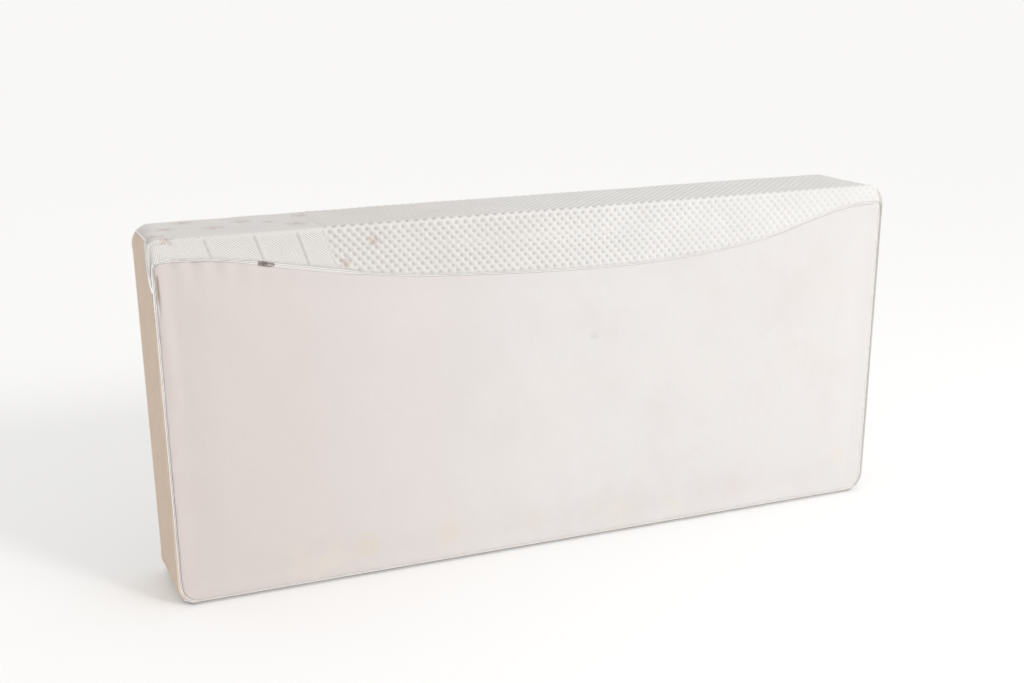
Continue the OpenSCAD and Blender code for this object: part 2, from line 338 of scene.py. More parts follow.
def soften(p):
    """Moves ideal surface points to the soft form."""
    p = np.asarray(p, float)
    shape = p.shape
    q = p.reshape(-1, 3).copy()
    inside = np.clip(1 - np.abs(q[:, 0]) / END, 0, 1) ** 0.5
    if form is None:
        crown = 0.004 * inside
        move = np.stack([np.zeros(len(q)), np.sign(q[:, 1]) * crown * (np.abs(q[:, 1]) > 0.1),
                         crown * (q[:, 2] > TOP - 0.03)], -1)
    else:
        tree, vec = form
        move = np.zeros_like(q)
        for i, v in enumerate(q):
            near = tree.find_n(v, 5)
            w = np.array([1 / (d + 0.002) ** 2 for _, _, d in near])
            move[i] = (vec[[n[1] for n in near]] * w[:, None]).sum(0) / w.sum()
    # outwards the cover may swell; inwards the foam stops it
    nrm = outward_normal(q)
    sink = np.minimum((move * nrm).sum(1), 0)
    move += nrm * (-FORM_GIVE * np.tanh(-sink / FORM_GIVE) - sink)[:, None]
    turn = corner_shift(q)
    d = seam_distance(q)
    front = q[:, 1] < -FACE + 0.012
    hold = np.where(front, np.clip((d - 0.010) / 0.12, 0, 1),
                    np.clip((d + (q[:, 1] + FACE) * 0.7 - 0.010) / 0.04, 0, 1))
    hold = hold * hold * (3 - 2 * hold)
    wave = 0.0008 * ripple(q, 0.34, 3) + 0.0005 * ripple(q, 0.13, 4)
    out_dir = np.zeros_like(q)
    out_dir[:, 1] = np.where(np.abs(q[:, 1]) > FACE - 0.004, np.sign(q[:, 1]), 0)
    out_dir[:, 2] = np.where(q[:, 2] > TOP - 0.004, 1, 0)
    q += (move + out_dir * wave[:, None]) * hold[:, None] + turn
    t = np.clip((q[:, 1] + FACE) / 0.05, 0, 1)
    q[:, 2] = np.maximum(q[:, 2], 0.0034 * (1 - t * t * (3 - 2 * t)))
    return q.reshape(shape)


# ---- knit relief ----

BUMP_U = 0.0227                       # pitch of the bubbles along the length
BUMP_V = 0.0120                       # spacing of their staggered rows
BUMP_H = 0.0054
BUBBLE_LEFT = -0.592
BUBBLE_RIGHT = 1.20                    # beyond the end: the bubbles run round the corner
WELTS = (-0.872, -0.757, -0.656)      # stitched lines across the plain zone at the left
SHORT_RIBS = (-0.692, -0.684, -0.676)
LEAN = 0.30                           # how far the zone edges lean on the front lip


def smooth(a, b, x):
    t = np.clip((x - a) / (b - a), 0, 1)
    return t * t * (3 - 2 * t)


def bubbles(u, v):
    """Puffed staggered bubbles with narrow dimples between them, from 0 to 1."""
    a, b = 2 * math.pi * u / BUMP_U, math.pi * v / BUMP_V
    wave = 0.57 * np.cos(a + b) + 0.43 * np.cos(a - b)
    return ((1 + wave) / 2) ** 0.80


def knit_relief(u, v):
    shift = LEAN * np.minimum(v, 0)
    zone = (smooth(-0.004, 0.008, u - BUBBLE_LEFT + shift)
            * (1 - smooth(-0.008, 0.004, u - BUBBLE_RIGHT - shift)))
    soft = ((1.08 - 0.40 * smooth(-0.1, 0.6, u) - 0.45 * smooth(0.55, 0.96, u))
            * (1 + 0.16 * np.sin(u * 23 + 1) * np.sin(v * 31 + u * 9)))
    h = BUMP_H * (bubbles(u, v) - 0.55) * zone * soft
    lip_only = 1 - smooth(-0.004, 0.012, v)
    for at in WELTS:
        h -= 0.0018 * np.exp(-(((u - at + shift) / 0.0024) ** 2)) * (1 - zone) * lip_only
        h += 0.0012 * np.exp(-(((u - at - 0.006 + shift) / 0.004) ** 2)) * (1 - zone) * lip_only
    for at in SHORT_RIBS:
        h += (0.0013 * np.exp(-(((u - at) / 0.0022) ** 2)) * smooth(-0.052, -0.046, v)
              * (1 - smooth(-0.018, -0.012, v)))
    edge = (u - BUBBLE_LEFT + shift + 0.004) / 0.003
    return h - 0.0011 * np.exp(-(edge**2)) - 0.0009 * np.exp(-(((u - BUBBLE_RIGHT - shift) / 0.003) ** 2))


# ---- closed shells from grids ----

def link(name, mesh):
    ob = bpy.data.objects.new(name, mesh)
    bpy.context.scene.collection.objects.link(ob)
    return ob


def strip_between(a, b):
    """Triangles joining two rows of vertex numbers of different lengths."""
    faces, i, j = [], 0, 0
    while i < len(a) - 1 or j < len(b) - 1:
        if j >= len(b) - 1 or (i < len(a) - 1 and (i + 1) / (len(a) - 1) <= (j + 1) / (len(b) - 1)):
            faces.append((a[i], a[i + 1], b[j]))
            i += 1
        else:
            faces.append((a[i], b[j + 1], b[j]))
            j += 1
    return faces


def shell(name, outer, inner, uv=None, mat=None):
    """A closed sheet with a fine outer grid and a coarse inner grid, joined round the rim."""
    m, n = outer.shape[:2]
    p, q = inner.shape[:2]
    verts = np.vstack([outer.reshape(-1, 3), inner.reshape(-1, 3)])
    o = np.arange(m * n).reshape(m, n)
    k = np.arange(p * q).reshape(p, q) + m * n
    faces = np.stack([o[:-1, :-1], o[:-1, 1:], o[1:, 1:], o[1:, :-1]], -1).reshape(-1, 4).tolist()
    faces += np.stack([k[:-1, :-1], k[1:, :-1], k[1:, 1:], k[:-1, 1:]], -1).reshape(-1, 4).tolist()
    faces += [f[::-1] for f in strip_between(o[0], k[0])]
    faces += strip_between(o[-1], k[-1])
    faces += strip_between(o[:, 0], k[:, 0])
    faces += [f[::-1] for f in strip_between(o[:, -1], k[:, -1])]
    mesh = bpy.data.meshes.new(name)
    mesh.from_pydata(verts.tolist(), [], faces)
    mesh.update()
    if uv is not None:
        flat = np.vstack([uv.reshape(-1, 2), np.zeros((p * q, 2))])
        step_r = np.linspace(0, m - 1, p).astype(int)
        step_c = np.linspace(0, n - 1, q).astype(int)
        flat[m * n:] = uv[np.ix_(step_r, step_c)].reshape(-1, 2)
        layer = mesh.uv_layers.new(name="cloth")
        loops = np.empty(len(mesh.loops), int)
        mesh.loops.foreach_get("vertex_index", loops)
        layer.data.foreach_set("uv", flat[loops].ravel())
    bm = bmesh.new()
    bm.from_mesh(mesh)
    bmesh.ops.recalc_face_normals(bm, faces=bm.faces[:])
    bm.to_mesh(mesh)
    bm.free()
    mesh.polygons.foreach_set("use_smooth", [True] * len(mesh.polygons))
    mesh.set_sharp_from_angle(angle=math.radians(55))
    ob = link(name, mesh)
    if mat:
        mesh.materials.append(mat)
    return ob


# ---- border surface ----

LIP = 0.0034                          # from the seam line to a lip's rolled edge
LIP_OPEN = 0.0058                     # the same where the slider runs
ROLL = 0.0013                         # radius of that edge
C_START = 0.004                       # c where the front rows meet the rounding
LIP_BASE = -FACE + PANEL_T - 0.0003


def lip_at(x, z):
    """Distance from the seam line to the lips: wider where the slider runs."""
    t = np.clip((x + 0.790) / 0.03, 0, 1) * np.clip((-0.495 - x) / 0.03, 0, 1) * (z > 0.6)
    return LIP + (LIP_OPEN - LIP) * t * t * (3 - 2 * t)


def across(c, s):
    """Distance in from the perimeter and depth in Y for an array of c on the rounding and the side."""
    c = np.asarray(c, float)
    r = fold_radius(s)
    ang = np.clip(c / EDGE_R, 0, math.pi / 2)
    d = r * (1 - np.sin(ang))
    y = -FACE + r * (1 - np.cos(ang)) + np.maximum(c - ARC, 0) * (SIDE + EDGE_R - r) / SIDE
    return d, y, ang


def border_rows(front_rows, arc_rows, side_rows):
    """Row marks from the zip lip to the back seam: (kind, value)."""
    rows = [("roll", 0.0), ("roll", 0.5), ("roll", 1.0), ("roll", 1.5), ("roll", 2.0)]
    rows += [("front", -1 + (k + 1) / front_rows) for k in range(front_rows - 1)]
    rows += [("cross", C_START + (ARC - C_START) * k / arc_rows) for k in range(arc_rows)]
    rows += [("cross", ARC + (SIDE - 0.0016) * k / side_rows) for k in range(side_rows + 1)]
    rows += [("back", 0.5), ("back", 1.0), ("back", 2.0)]
    return rows


def border_surface(s_grid, rows):
    """Points, normals and (u, v) for a grid of s with one row per mark."""
    m, n = s_grid.shape
    pts, nrm, uv = np.zeros((m, n, 3)), np.zeros((m, n, 3)), np.zeros((m, n, 2))
    for r, (kind, val) in enumerate(rows):
        p, nn, q, mm = perimeter(s_grid[r])
        d0, y0, _ = across(C_START, s_grid[r])
        lip = lip_at(q[:, 0], q[:, 1])[:, None]
        lip_flat = q + mm * (lip + ROLL)
        start = p - nn * d0[:, None]
        gap = np.linalg.norm(start - lip_flat, axis=1)
        if kind == "roll":
            ang = min(val, 2.0) / 2 * math.pi / 2 if val > 0 else 0
            flat = q + mm * (lip + ROLL * (1 - math.cos(ang)))
            y = LIP_BASE if val == 0 else -FACE + ROLL * (1 - math.sin(ang))
            pts[r] = np.stack([flat[:, 0], np.full(n, y), flat[:, 1]], -1)
            nrm[r] = np.stack([-mm[:, 0] * math.cos(ang), np.full(n, -math.sin(ang) - 0.01),
                               -mm[:, 1] * math.cos(ang)], -1)
            uv[r] = np.stack([s_grid[r], C_START - gap], -1)
        elif kind == "front":
            f = -val
            flat = start * (1 - f) + lip_flat * f
            y = -FACE * f + y0 * (1 - f)
            pts[r] = np.stack([flat[:, 0], y, flat[:, 1]], -1)
            nrm[r] = (0, -1, 0)
            uv[r] = np.stack([s_grid[r], C_START - gap * f], -1)
        else:
            c = val if kind == "cross" else BACK_SEAM - 0.0016 * (1 - min(val, 1))
            d, y, ang = across(c, s_grid[r])
            if kind == "back":
                d = np.full(n, 0.0016 * (1 - math.sqrt(max(0, 1 - min(val, 1) ** 2)))
                            if val <= 1 else PANEL_T)
            flat = p - nn * d[:, None]
            pts[r] = np.stack([flat[:, 0], y, flat[:, 1]], -1)
            nrm[r] = np.stack([nn[:, 0] * np.sin(ang), np.full(n, -np.cos(ang)), nn[:, 1] * np.sin(ang)], -1)
            uv[r] = np.stack([s_grid[r], np.full(n, c)], -1)
    size = np.linalg.norm(nrm, axis=2, keepdims=True)
    return pts, nrm / np.maximum(size, 1e-9), uv


def wedge(v):
    """How far the knit runs on down the left edge past the corner, at each v."""
    return 0.112 * np.clip(1 - v / 0.046, 0, 1) ** 1.25 * (v < 0.046)


def s_grid_for(rows, s0, s1, cols, wedge_at=None):
    """s for each row and column; wedge_at names the end that follows the knit wedge."""
    base = np.linspace(s0, s1, cols)
    grid = np.repeat(base[None], len(rows), axis=0)
    if wedge_at is None:
        return grid
    near = np.clip(1 - np.abs(base - (s0 if wedge_at == "start" else s1)) / 0.22, 0, 1) ** 2
    for r, (kind, val) in enumerate(rows):
        v = {"roll": 0.0, "front": 0.0, "cross": val, "back": 1.0}[kind]
        grid[r] -= wedge(np.array(v)) * near
    return grid


def border_piece(name, s0, s1, spacing, counts, relief, mat, wedge_at=None):
    rows = border_rows(*counts)
    cols = int(round((s1 - s0) / spacing)) + 1
    grid = s_grid_for(rows, s0, s1, cols, wedge_at)
    pts, nrm, uv = border_surface(grid, rows)
    kinds = np.array([r[0] in ("front", "cross") for r in rows])
    lip_gap = seam_distance(pts.reshape(-1, 3)).reshape(pts.shape[:2]) - lip_at(pts[..., 0], pts[..., 2])
    front = pts[..., 1] < -FACE + 0.003
    fade = np.where(front, smooth(0.0, 0.007, lip_gap), 1.0)
    fade *= smooth(0.0, 0.006, BACK_SEAM - uv[..., 1])
    puff = np.where(front, 0.0011 * np.clip(lip_gap / 0.009, 0, None) * np.exp(1 - lip_gap / 0.009), 0)
    tall = (relief(uv[..., 0], uv[..., 1]) * fade + puff * smooth(0, 0.003, lip_gap)) * kinds[:, None]
    soft = soften(pts)
    outer = soft + nrm * tall[..., None]
    outer[..., 2] = np.maximum(outer[..., 2], 0.0)
    pick_r = [0, 3] + list(range(5, len(rows) - 3, 8)) + [len(rows) - 1]
    pick_c = np.unique(np.append(np.arange(0, cols, 10), cols - 1))
    inner = soft[np.ix_(pick_r, pick_c)] - nrm[np.ix_(pick_r, pick_c)] * 0.0028
    inner[0, :, 1] = LIP_BASE + 0.0001
    inner[-1, :, 1] -= 0.0015
    return shell(name, outer, inner, uv, mat)


# ---- underside panel ----

def graded(total, step, edge):
    """Positions from 0 to total with the given distances from both ends and even steps between."""
    inner = np.linspace(edge[-1], total - edge[-1], max(2, int(round((total - 2 * edge[-1]) / step)) + 1))
    return np.concatenate([edge[:-1], inner, total - np.array(edge[:-1])[::-1]])


def underside_grid(step):
    r = SEAM_R - LIP
    flat = SEAM_END - SEAM_R
    middle = np.linspace(-flat, flat, int(2 * flat / step) + 1)
    turn = np.radians(np.linspace(0, 90, 25))[1:]
    ends = flat + r * np.sin(turn)
    xs = np.concatenate([-ends[::-1], middle, ends])
    drop = np.concatenate([(r - r * np.cos(turn))[::-1], np.zeros(len(middle)), r - r * np.cos(turn)])
    lip = lip_at(RUN_X, RUN_Z)
    run_x = RUN_X - lip * RUN_NX
    run_z = RUN_Z - lip * RUN_NZ
    sharp = SEAM_SHARP - LIP
    past = np.clip(np.abs(xs) - (SEAM_END - SEAM_SHARP), 0, sharp)
    top = (np.interp(np.clip(xs, -flat, flat), run_x, run_z)
           - (sharp - np.sqrt(np.maximum(sharp**2 - past**2, 0))))
    low = SEAM_INSET + LIP + drop
    edge = [0, 0.0004, 0.0009, 0.0016, 0.003, 0.0055, 0.0095]
    share = graded(1.0, step / 0.78, [e / 0.78 for e in edge])
    zs = low[None] + (top - low)[None] * share[:, None]
    return np.stack([np.repeat(xs[None], len(share), 0), np.full(zs.shape, -FACE), zs], -1)


def underside_piece(mat):
    pts = underside_grid(0.0062)
    flat = pts.reshape(-1, 3)
    gap = np.maximum(seam_distance(flat) - lip_at(flat[:, 0], flat[:, 2]), 0)
    d = np.minimum(gap, ROLL)
    y = ROLL - np.sqrt(np.maximum(ROLL**2 - (ROLL - d) ** 2, 0))
    puff = 0.0012 * (gap / 0.011) * np.exp(1 - gap / 0.011)
    x, z = flat[:, 0], flat[:, 2]
    corner = np.exp(-((x + END - 0.12) / 0.13) ** 2) * (z > 0.5)
    along = x + 0.6 * z
    pucker = (np.exp(-gap / 0.024) * (0.00025 + 0.0030 * corner)
              * np.sin(2 * math.pi * x / 0.049 + 1.2 * np.sin(along * 11)))
    side = (np.exp(-gap / 0.03) * 0.0005 * np.sin(2 * math.pi * z / 0.083 + np.sin(z * 17))
            * (np.abs(x) > 0.93))
    crease = 0.0005 * ripple(flat, 0.22, 12) * smooth(0.02, 0.09, gap)
    long_fold = (0.0009 * np.exp(-((z - 0.78 - 0.25 * (x + 0.9)) / 0.018) ** 2)
                 * np.exp(-((x + 0.86) / 0.09) ** 2))
    tuck = (smooth(0.71, 0.75, z) * (1 - smooth(0.80, 0.825, z)) * (x < 0)
            * np.exp(-((x + SEAM_END - 0.0078) / 0.0030) ** 2))
    soft = soften(pts).reshape(-1, 3)
    soft[:, 1] += y - puff - pucker - side - crease - long_fold + 0.0032 * tuck
    outer = soft.reshape(pts.shape)
    m, n = pts.shape[:2]
    rr = np.unique(np.append(np.arange(0, m, 9), m - 1))
    cc = np.unique(np.append(np.arange(0, n, 9), n - 1))
    inner = pts[np.ix_(rr, cc)].copy()
    inner[..., 1] = LIP_BASE
    uv = pts[..., [0, 2]]
    return shell("underside_fabric", outer, inner, uv, mat)


# ---- sleeping panel ----

def sleeping_piece(mat, spacing):
    """The knitted top panel with its rounded rim, seen from behind."""
    rim = [0, 0.0004, 0.0012, 0.0024, 0.004, 0.006, 0.008, EDGE_R]
    fx = graded(2 * END, spacing, rim) - END
    fz = graded(TOP, spacing, rim)
    u, w = np.meshgrid(fx, fz)
    # round the four corners: pull grid points of the corner squares onto arcs
    cx, cz = END - CORNER_R, TOP / 2 - CORNER_R
    dx, dz = np.maximum(np.abs(u) - cx, 0), np.maximum(np.abs(w - TOP / 2) - cz, 0)
    both = (dx > 0) & (dz > 0)
    reach = np.maximum(dx, dz)
    length = np.hypot(dx, dz) + 1e-12
    px = np.where(both, np.sign(u) * (cx + dx * reach / length), u)
    pz = np.where(both, TOP / 2 + np.sign(w - TOP / 2) * (cz + dz * reach / length), w)
    outward = np.minimum(np.minimum(END - np.abs(u), np.minimum(w, TOP - w)), EDGE_R)
    depth = FACE - EDGE_R + np.sqrt(np.maximum(EDGE_R**2 - (EDGE_R - outward) ** 2, 0))
    pts = np.stack([px, depth, pz], -1)
    nx = np.gradient(pts, axis=1)
    nz = np.gradient(pts, axis=0)
    nrm = np.cross(nz, nx)
    nrm /= np.linalg.norm(nrm, axis=2, keepdims=True) + 1e-12
    nrm[nrm[..., 1] < 0] *= -1
    fade = smooth(0.0005, 0.008, outward)
    quilt = sum(np.exp(-((u - at) / 0.004) ** 2) for at in (BUBBLE_LEFT, BUBBLE_RIGHT))
    tall = (knit_relief(u, np.maximum(w, 0.001)) - 0.0014 * quilt) * fade
    soft = soften(pts)
    outer = soft + nrm * tall[..., None]
    outer[..., 2] = np.maximum(outer[..., 2], 0.0)
    rr = np.unique(np.append(np.arange(0, len(fz), 12), len(fz) - 1))
    cc = np.unique(np.append(np.arange(0, len(fx), 12), len(fx) - 1))
    sub = np.ix_(rr, cc)
    inner = soft[sub].copy()
    inner[..., 1] = np.minimum(inner[..., 1] - 0.003, FACE - 0.0045)
    inner[..., 0] *= (END - 0.0032) / END
    inner[..., 2] = TOP / 2 + (inner[..., 2] - TOP / 2) * (TOP / 2 - 0.0032) / (TOP / 2)
    return shell("sleeping_knit", outer, inner, np.stack([u, w], -1), mat)


# ---- tubes, stitches and zip parts ----

def merge_mesh(name, verts, faces, mat, smooth_faces=True):
    mesh = bpy.data.meshes.new(name)
    mesh.from_pydata(np.asarray(verts).tolist(), [], [list(map(int, f)) for f in faces])
    mesh.update()
    mesh.polygons.foreach_set("use_smooth", [smooth_faces] * len(mesh.polygons))
    mesh.materials.append(mat)
    return link(name, mesh)


def tube(name, path, radius, mat, sides=8, closed=False, flat=1.0):
    """A tube along a path, with closed ends or joined into a loop."""
    path = np.asarray(path, float)
    if closed:
        tan = np.roll(path, -1, 0) - np.roll(path, 1, 0)
    else:
        tan = np.gradient(path, axis=0)
    tan /= np.linalg.norm(tan, axis=1, keepdims=True)
    up = np.array([0, 1.0, 0])
    a = np.cross(tan, up)
    small = np.linalg.norm(a, axis=1) < 0.2
    a[small] = np.cross(tan[small], (0, 0, 1.0))
    a /= np.linalg.norm(a, axis=1, keepdims=True)
    b = np.cross(tan, a)
    ang = np.arange(sides) * 2 * math.pi / sides
    ring = path[:, None] + radius * (np.cos(ang)[None, :, None] * a[:, None]
                                     + flat * np.sin(ang)[None, :, None] * b[:, None])
    n = len(path)
    idx = np.arange(n * sides).reshape(n, sides)
    nxt = np.roll(idx, -1, 0) if closed else idx[1:]
    cur = idx if closed else idx[:-1]
    faces = np.stack([cur, np.roll(cur, -1, 1), np.roll(nxt, -1, 1), nxt], -1).reshape(-1, 4).tolist()
    if not closed:
        faces += [idx[0][::-1].tolist(), idx[-1].tolist()]
    return merge_mesh(name, ring.reshape(-1, 3), faces, mat)


def stitch_row(name, points, normals, length, gap, radius, mat, lift=0.0):
    """Separate thread stitches along a closed or open line on the cloth."""
    pts = np.asarray(points, float)
    dist = np.concatenate([[0], np.cumsum(np.linalg.norm(np.diff(pts, axis=0), axis=1))])
    count = int(dist[-1] // (length + gap))
    starts = np.arange(count) * dist[-1] / count
    shape = np.array([[0.0, -0.5], [0.14, 0.55], [0.5, 0.85], [0.86, 0.55], [1.0, -0.5]])
    sides = 5
    at = starts[:, None] + shape[None, :, 0] * length
    centre = np.stack([np.interp(at, dist, pts[:, k]) for k in range(3)], -1)
    nrm = np.stack([np.interp(at, dist, np.asarray(normals)[:, k]) for k in range(3)], -1)
    nrm /= np.linalg.norm(nrm, axis=2, keepdims=True) + 1e-12
    centre += nrm * (shape[None, :, 1:] * radius + lift)
    tan = centre[:, -1] - centre[:, 0]
    tan /= np.linalg.norm(tan, axis=1, keepdims=True) + 1e-12
    cross = np.cross(nrm, tan[:, None])
    ang = np.arange(sides) * 2 * math.pi / sides
    ring = centre[:, :, None] + radius * (np.cos(ang)[None, None, :, None] * cross[:, :, None]
                                          + np.sin(ang)[None, None, :, None] * nrm[:, :, None])
    rows = len(shape)
    one = np.arange(rows * sides).reshape(rows, sides)
    quads = np.stack([one[:-1], np.roll(one[:-1], -1, 1), np.roll(one[1:], -1, 1), one[1:]],
                     -1).reshape(-1, 4)
    faces = []
    for k in range(count):
        base = k * rows * sides
        faces += (quads + base).tolist()
        faces += [(one[0][::-1] + base).tolist(), (one[-1] + base).tolist()]
    return merge_mesh(name, ring.reshape(-1, 3), faces, mat)


def seam_path(offset, y, step=0.006, close=True):
    """Points at a distance outside the seam line and a depth, once round."""
    pts, nrm, _ = seam_line(step)
    flat = pts + nrm * offset
    out = np.stack([flat[:, 0], np.full(len(flat), y), flat[:, 1]], -1)
    out += corner_shift(out)
    return np.vstack([out, out[:1]]) if close else out


COIL_Y = -FACE + PANEL_T + 0.0002     # outer face of the tapes, where the coils sit
COIL_H = 0.0020


def zip_coil(name, side, mat):
    """One coil half: a row of rounded loops along the seam on the tape."""
    pitch = 0.0022
    pts, nrm, at = seam_line(pitch)
    tan = np.stack([nrm[:, 1], -nrm[:, 0]], -1)
    inner, outer_d = 0.00036, 0.0033
    half = pitch * 0.44
    profile = [(inner, 0.15), (inner + 0.0003, 0.8), (0.0018, 1.0), (outer_d - 0.0004, 0.8), (outer_d, 0.15)]
    verts, faces = [], []
    k = len(profile)
    for i in range(len(pts)):
        along = pts[i][0] - pivot.x
        if abs(pts[i][1] - pivot.z) < 0.02 and -0.0120 < along < -0.0095:
            continue
        base = len(verts)
        for t in (-half, half):
            for d, h in profile:
                p = pts[i] + nrm[i] * d * side + tan[i] * t * (0.8 if h > 0.9 else 1)
                verts.append((p[0], COIL_Y - COIL_H * h, p[1]))
        for t in (-half, half):
            for d in (inner, outer_d):
                p = pts[i] + nrm[i] * d * side + tan[i] * t
                verts.append((p[0], COIL_Y, p[1]))
        b = base + 2 * k
        quads = [(base + j, base + j + 1, base + k + j + 1, base + k + j) for j in range(k - 1)]
        quads += [(b, base, base + k, b + 2), (base + k - 1, b + 1, b + 3, base + 2 * k - 1),
                  (b + 1, b, b + 2, b + 3)]
        quads += [tuple([b] + [base + j for j in range(k)] + [b + 1])[::-1],
                  tuple([b + 2] + [base + k + j for j in range(k)] + [b + 3])]
        faces += [q if side > 0 else q[::-1] for q in quads]
    verts = np.array(verts)
    return merge_mesh(name, verts + corner_shift(verts), faces, mat)


def zip_tape(name, side, mat):
    """A woven tape along the seam, from beside the coil to under the fabric lip."""
    pts, nrm, _ = seam_line(0.008)
    section = [(0.0006, 0.0), (0.0035, 0.0), (0.0084, 0.0001), (0.0084, 0.0008), (0.0006, 0.0008)]
    ring = []
    for d, dy in section:
        flat = pts + nrm * d * side
        ring.append(np.stack([flat[:, 0], np.full(len(flat), COIL_Y + dy), flat[:, 1]], -1))
    ring = np.stack(ring, 1)
    n, k = ring.shape[:2]
    ring = (ring.reshape(-1, 3) + corner_shift(ring.reshape(-1, 3))).reshape(ring.shape)
    idx = np.arange(n * k).reshape(n, k)
    nxt = np.roll(idx, -1, 0)
    faces = np.stack([idx, np.roll(idx, -1, 1), np.roll(nxt, -1, 1), nxt], -1).reshape(-1, 4)
    faces = faces[:, ::-1] if side < 0 else faces
    return merge_mesh(name, ring.reshape(-1, 3), faces, mat, False)


def bevelled(name, node, width, mat, segments=2):
    """A copy of a hard CAD piece with its edges rounded."""
    ob = link(name, frame["nodes"][node].data.copy())
    bm = bmesh.new()
    bm.from_mesh(ob.data)
    bmesh.ops.remove_doubles(bm, verts=bm.verts[:], dist=1e-6)
    bmesh.ops.dissolve_limit(bm, angle_limit=math.radians(1), verts=bm.verts[:], edges=bm.edges[:])
    bm.to_mesh(ob.data)
    bm.free()
    bev = ob.modifiers.new("edges", "BEVEL")
    bev.width = width
    bev.segments = segments
    bev.limit_method = "ANGLE"
    bev.angle_limit = math.radians(35)
    bpy.context.view_layer.objects.active = ob
    bpy.ops.object.modifier_apply(modifier="edges")
    ob.data.materials.clear()
    ob.data.materials.append(mat)
    ob.data.polygons.foreach_set("use_smooth", [True] * len(ob.data.polygons))
    ob.data.set_sharp_from_angle(angle=math.radians(40))
    return ob


# ---- materials ----

def shade(color, *share):
    """A colour times one number, or times one number for each channel."""
    return tuple(c * s for c, s in zip(color, share * 3 if len(share) == 1 else share))


class Nodes:
    """A small builder for one material's node tree."""

    def __init__(self, name, color, rough=0.8, sheen=0.0, metal=0.0, spec=0.3):
        self.mat = bpy.data.materials.new(name)
        self.mat.use_nodes = True
        self.tree = self.mat.node_tree
        self.tree.nodes.clear()
        self.out = self.tree.nodes.new("ShaderNodeOutputMaterial")
        self.shader = self.tree.nodes.new("ShaderNodeBsdfPrincipled")
        self.tree.links.new(self.shader.outputs[0], self.out.inputs[0])
        self.shader.inputs["Base Color"].default_value = (*color, 1)
        self.shader.inputs["Roughness"].default_value = rough
        self.shader.inputs["Metallic"].default_value = metal
        self.shader.inputs["Specular IOR Level"].default_value = spec
        self.shader.inputs["Sheen Weight"].default_value = sheen
        self.shader.inputs["Sheen Roughness"].default_value = 0.5
        self.mat.diffuse_color = (*color, 1)

    def node(self, kind, **props):
        n = self.tree.nodes.new("ShaderNode" + kind)
        for key, value in props.items():
            setattr(n, key, value)
        return n

    def put(self, socket, value):
        if isinstance(value, bpy.types.NodeSocket):
            self.tree.links.new(value, socket)
        else:
            socket.default_value = value

    def math(self, op, a, b=0.0, c=0.0, clamp=False):
        n = self.node("Math", operation=op, use_clamp=clamp)
        for socket, value in zip(n.inputs, (a, b, c)):
            self.put(socket, value)
        return n.outputs[0]

    def mul(self, a, b):
        return self.math("MULTIPLY", a, b)

    def sub(self, a, b):
        return self.math("SUBTRACT", a, b)

    def mad(self, a, b, c):
        """a times b plus c."""
        return self.math("MULTIPLY_ADD", a, b, c)

    def flip(self, a):
        """1 minus a."""
        return self.math("SUBTRACT", 1.0, a)

    def absolute(self, a):
        return self.math("ABSOLUTE", a)

    def top(self, a, b):
        """The larger of two values."""
        return self.math("MAXIMUM", a, b)

    def add(self, *values):
        total = values[0]
        for v in values[1:]:
            total = self.math("ADD", total, v)
        return total

    def step(self, value, low, high):
        """Smooth rise from 0 at low to 1 at high."""
        n = self.node("MapRange", interpolation_type="SMOOTHSTEP")
        self.put(n.inputs["Value"], value)
        self.put(n.inputs["From Min"], low)
        self.put(n.inputs["From Max"], high)
        return n.outputs["Result"]

    def mix(self, factor, a, b):
        n = self.node("Mix", data_type="RGBA")
        self.put(n.inputs[0], factor)
        for socket, value in ((n.inputs[6], a), (n.inputs[7], b)):
            self.put(socket, (*value, 1) if isinstance(value, tuple) and len(value) == 3 else value)
        return n.outputs[2]

    def times(self, a, b):
        """Product of two colours."""
        n = self.node("Mix", data_type="RGBA", blend_type="MULTIPLY")
        n.inputs[0].default_value = 1.0
        self.put(n.inputs[6], a)
        self.put(n.inputs[7], b)
        return n.outputs[2]

    def noise(self, where, scale, detail=2.0, rough=0.5, distortion=0.0):
        n = self.node("TexNoise")
        self.put(n.inputs["Vector"], where)
        n.inputs["Scale"].default_value = scale
        n.inputs["Detail"].default_value = detail
        n.inputs["Roughness"].default_value = rough
        n.inputs["Distortion"].default_value = distortion
        return n.outputs["Fac"]

    def place(self, uv=True):
        """Cloth coordinates (u, v) in metres, or the part's own x, y, z."""
        if uv:
            src = self.node("UVMap", uv_map="cloth").outputs[0]
        else:
            src = self.node("TexCoord").outputs["Object"]
        parts = self.node("SeparateXYZ")
        self.put(parts.inputs[0], src)
        return src, parts.outputs[0], parts.outputs[1], parts.outputs[2]

    def wave(self, value, pitch, phase=0.0):
        """Sine from -1 to 1 with the given pitch."""
        return self.math("SINE", self.math("MULTIPLY_ADD", value, 2 * math.pi / pitch, phase))

    def bump(self, height, strength=1.0):
        n = self.node("Bump")
        n.inputs["Strength"].default_value = strength
        n.inputs["Distance"].default_value = 1.0
        self.put(n.inputs["Height"], height)
        self.put(self.shader.inputs["Normal"], n.outputs[0])

    def color(self, value):
        self.put(self.shader.inputs["Base Color"], value)

    def rough(self, value):
        self.put(self.shader.inputs["Roughness"], value)


KNIT = (0.655, 0.640, 0.618)
UNDERSIDE = (0.616, 0.592, 0.578)
# the end cloth's tan: partly its own colour, partly painted warm shade
END_CLOTH_AND_SHADE = (0.625, 0.500, 0.400)

FLOWERS = [
    (-0.936, 0.143, 0.027), (-0.883, 0.210, 0.026), (-0.826, 0.119, 0.031), (-0.748, 0.174, 0.029),
    (-0.634, 0.085, 0.034), (-0.602, 0.200, 0.028), (-0.972, 0.062, 0.027), (-0.955, 0.012, 0.021),
    (-0.690, 0.145, 0.020), (-0.471, -0.030, 0.018), (-0.545, -0.078, 0.018),
]


